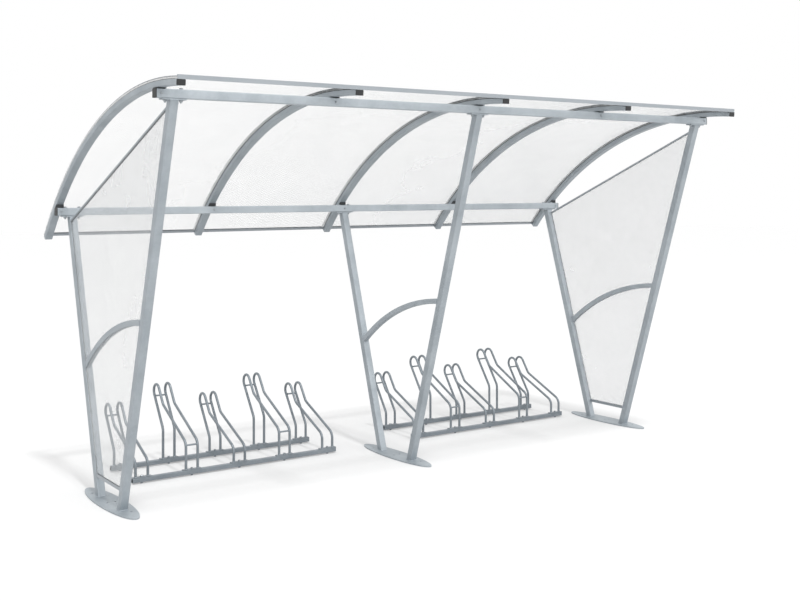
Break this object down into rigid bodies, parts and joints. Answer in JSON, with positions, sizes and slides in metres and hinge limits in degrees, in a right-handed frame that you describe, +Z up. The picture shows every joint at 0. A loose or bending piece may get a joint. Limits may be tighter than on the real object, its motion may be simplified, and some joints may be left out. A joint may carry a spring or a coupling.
{
  "type": "bike shelter",
  "caption": "Free-standing bike shelter: V-shaped steel trestles with oval feet, a curved clear sheet roof on bent arches, glazed ends, and floor racks with high and low wheel holders.",
  "frame": {"origin": "on the floor, under the middle of the centre trestle's base plate", "axes": "+X along the shelter to the right as seen from its open front, +Y to the low rear side, +Z up"},
  "size_m": [4.415, 2.1903, 2.4921],
  "materials": {
    "galvanised_frame": "hot-dip galvanised, weathered grey",
    "galvanised_rack": "hot-dip galvanised, a little darker",
    "mill_aluminium": "mill-finish extrusion",
    "clear_twinwall": "translucent twin-wall polycarbonate",
    "black_plastic": "moulded plastic end plugs",
    "black_rubber": "rubber gasket, pad and wedge"
  },
  "bodies": {
    "root": {"base_plate_left": "galvanised_frame", "base_plate_centre": "galvanised_frame", "base_plate_right": "galvanised_frame", "front_leg_left": "galvanised_frame", "rear_leg_left": "galvanised_frame", "leg_brace_left": "galvanised_frame", "front_leg_centre": "galvanised_frame", "rear_leg_centre": "galvanised_frame", "leg_brace_centre": "galvanised_frame", "front_leg_right": "galvanised_frame", "rear_leg_right": "galvanised_frame", "leg_brace_right": "galvanised_frame", "head_plates": "galvanised_frame", "front_beam": "galvanised_frame", "rear_beam": "galvanised_frame", "roof_arch_1": "galvanised_frame", "roof_arch_2": "galvanised_frame", "roof_arch_3": "galvanised_frame", "roof_arch_4": "galvanised_frame", "roof_arch_5": "galvanised_frame", "arch_seats": "black_rubber", "end_plugs": "black_plastic", "front_edge_profile": "mill_aluminium", "rear_edge_profile": "mill_aluminium", "roof_sheet_1": "clear_twinwall", "roof_sheet_2": "clear_twinwall", "roof_sheet_3": "clear_twinwall", "roof_sheet_4": "clear_twinwall", "roof_gaskets": "black_rubber", "cover_strips": "mill_aluminium", "side_panel_left": "clear_twinwall", "side_panel_right": "clear_twinwall", "panel_channels": "mill_aluminium", "left_rack_rails": "galvanised_rack", "left_rack_hoops_1": "galvanised_rack", "left_rack_hoops_2": "galvanised_rack", "left_rack_hoops_3": "galvanised_rack", "left_rack_hoops_4": "galvanised_rack", "left_rack_hoops_5": "galvanised_rack", "right_rack_rails": "galvanised_rack", "right_rack_hoops_1": "galvanised_rack", "right_rack_hoops_2": "galvanised_rack", "right_rack_hoops_3": "galvanised_rack", "right_rack_hoops_4": "galvanised_rack", "right_rack_hoops_5": "galvanised_rack"}
  },
  "joints": []
}
